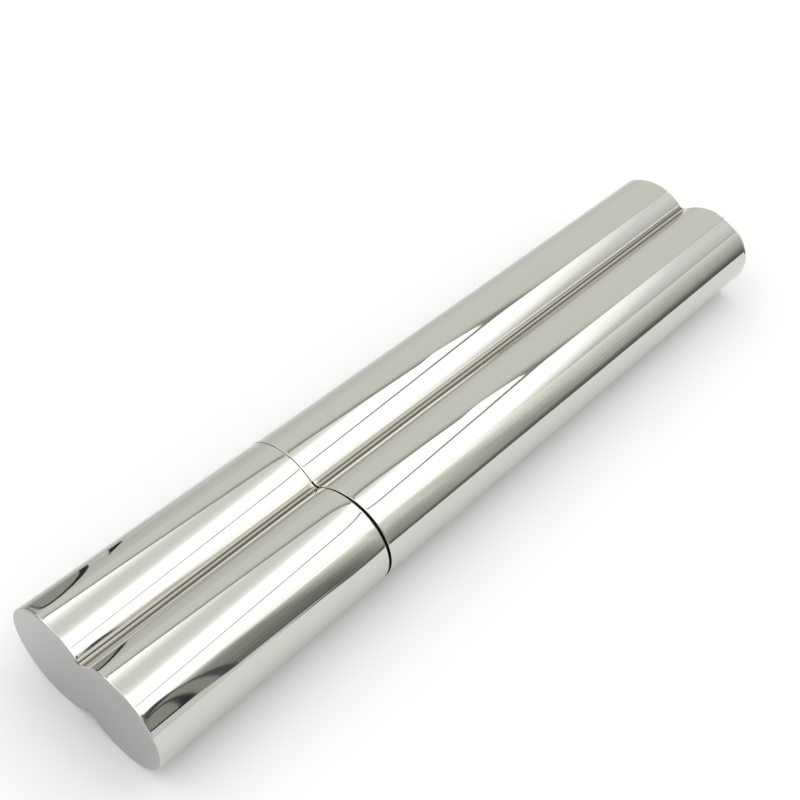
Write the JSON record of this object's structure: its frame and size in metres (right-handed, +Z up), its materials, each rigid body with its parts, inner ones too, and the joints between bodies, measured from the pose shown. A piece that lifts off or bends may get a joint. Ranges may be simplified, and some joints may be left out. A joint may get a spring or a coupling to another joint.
{
  "type": "two-finger cigar case",
  "caption": "Polished steel case of oval tubes side by side, flat ended, with a pull-off cap that slides over a sprung neck; holds cigars end to end with its length.",
  "frame": {"origin": "middle of the surface that the case lies on, half way along its length and between its two lobes", "axes": "+X along the case from the cap to the body, +Y across it from the right lobe to the left one as seen from the cap, +Z up"},
  "size_m": [0.2098, 0.044, 0.0229],
  "materials": {
    "polished_steel": "mirror-polished stainless steel, faintly warm, with fine polishing marks along its length",
    "end_plate_steel": "flat polished stainless steel, a little softer than the tubes",
    "sleeve_steel": "plain drawn stainless steel with rub marks along its length"
  },
  "bodies": {
    "body": {"body_tube_left": "polished_steel", "body_tube_right": "polished_steel", "body_valley_strip_top": "polished_steel", "body_valley_strip_bottom": "polished_steel", "body_end_plate": "end_plate_steel", "neck_sleeve_left": "sleeve_steel", "neck_sleeve_right": "sleeve_steel"},
    "cap": {"cap_tube_left": "polished_steel", "cap_tube_right": "polished_steel", "cap_valley_strip_top": "polished_steel", "cap_valley_strip_bottom": "polished_steel", "cap_end_plate": "end_plate_steel"}
  },
  "joints": [
    {"name": "cap_slide", "type": "slide", "parent": "body", "child": "cap", "axis": [-1, 0, 0], "range_m": [0, 0.06]}
  ]
}
